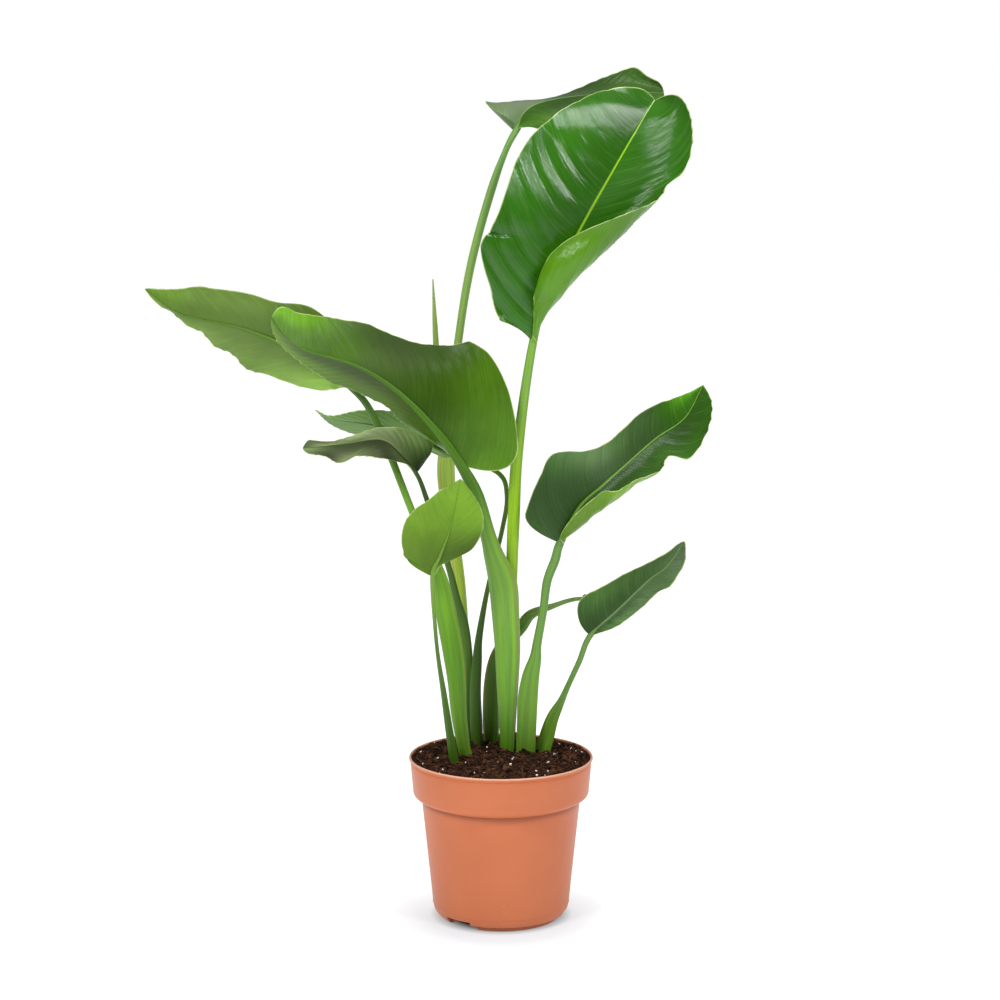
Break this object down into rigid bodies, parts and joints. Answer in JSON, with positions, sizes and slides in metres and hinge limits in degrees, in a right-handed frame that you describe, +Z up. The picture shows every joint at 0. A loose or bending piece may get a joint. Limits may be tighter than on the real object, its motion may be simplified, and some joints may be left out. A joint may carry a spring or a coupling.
{
  "type": "potted bird of paradise plant",
  "caption": "Young bird of paradise plant with broad leaves on long grooved stalks, rooted in dark soil in a tapered terracotta-coloured plastic pot.",
  "frame": {"origin": "centre of the pot's underside, on the surface that the pot stands on", "axes": "+Z up; seen from the front as in the picture, +X is to the right and -Y is toward the viewer"},
  "size_m": [0.5692, 0.2566, 0.8688],
  "materials": {
    "pot_plastic": "satin moulded plastic",
    "potting_soil": "matt, crumbly",
    "leaf_stalk": "smooth, slightly waxy",
    "blade_dark": "glossy, leathery",
    "blade_light": "satin, leathery",
    "new_leaf": "smooth, slightly waxy"
  },
  "bodies": {
    "root": {"pot": "pot_plastic", "soil": "potting_soil", "top_back_stem": "leaf_stalk", "top_back_blade": "blade_light", "tall_front_stem": "leaf_stalk", "tall_front_blade": "blade_dark", "broad_left_stem": "leaf_stalk", "broad_left_blade": "blade_light", "far_left_stem": "leaf_stalk", "far_left_blade": "blade_light", "small_left_stem": "leaf_stalk", "small_left_blade": "blade_dark", "round_front_stem": "leaf_stalk", "round_front_blade": "blade_light", "pale_behind_stem": "leaf_stalk", "pale_behind_blade": "blade_light", "upper_right_stem": "leaf_stalk", "upper_right_blade": "blade_dark", "lower_right_stem": "leaf_stalk", "lower_right_blade": "blade_dark", "arched_back_stem": "leaf_stalk", "arched_back_blade": "blade_light", "spear": "new_leaf"}
  },
  "joints": []
}
